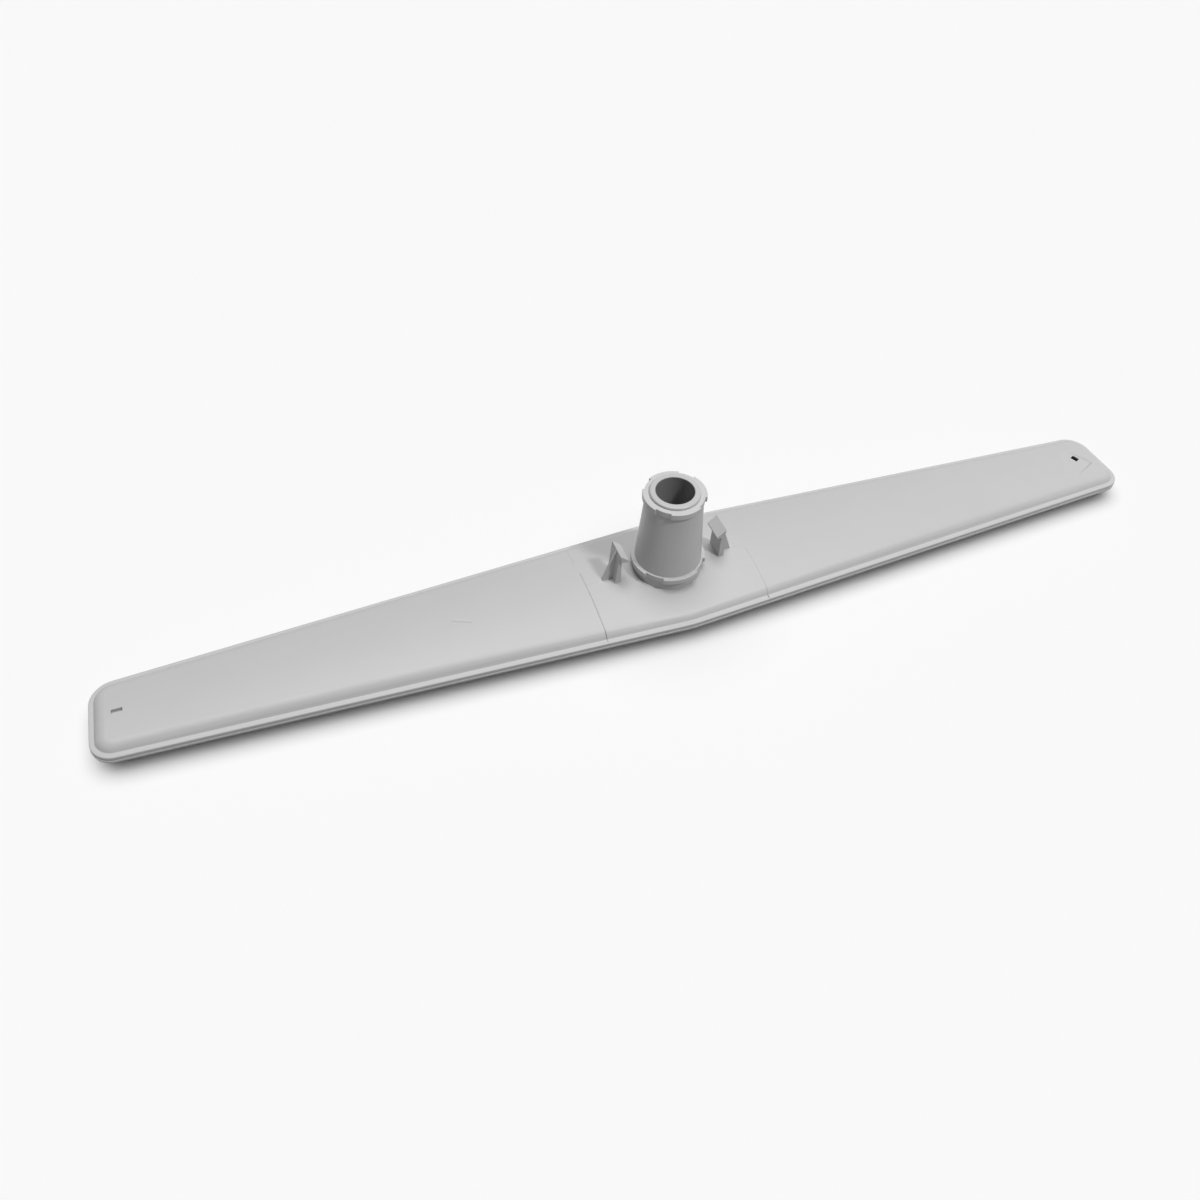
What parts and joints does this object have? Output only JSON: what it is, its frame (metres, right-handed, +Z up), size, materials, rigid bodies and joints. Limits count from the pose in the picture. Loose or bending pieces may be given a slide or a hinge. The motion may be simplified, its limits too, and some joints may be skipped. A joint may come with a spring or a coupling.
{
  "type": "dishwasher spray arm",
  "caption": "Long flat spray arm of two joined plastic shells, with a conical hub, a bearing bush it turns on, two snap hooks and slot nozzles underneath.",
  "frame": {"origin": "on the ground under the hub's axis, with the nozzle side down", "axes": "+X along the arm towards the drive jet, +Y across it, +Z up along the hub's axis"},
  "size_m": [0.48, 0.0628, 0.0591],
  "materials": {
    "shell": "fine matt grain",
    "hub": "fine matt grain",
    "bush": "smooth satin",
    "seal": "moulded"
  },
  "bodies": {
    "arm": {"upper_shell": "shell", "lower_shell": "shell", "hub_sleeve": "hub", "hub_seal": "seal"},
    "bush": {"bearing_bush": "bush"}
  },
  "joints": [
    {"name": "bush_turn", "type": "hinge", "parent": "arm", "child": "bush", "pos_m": [0, 0, 0.0456], "axis": [0, 0, 1], "continuous": true}
  ]
}
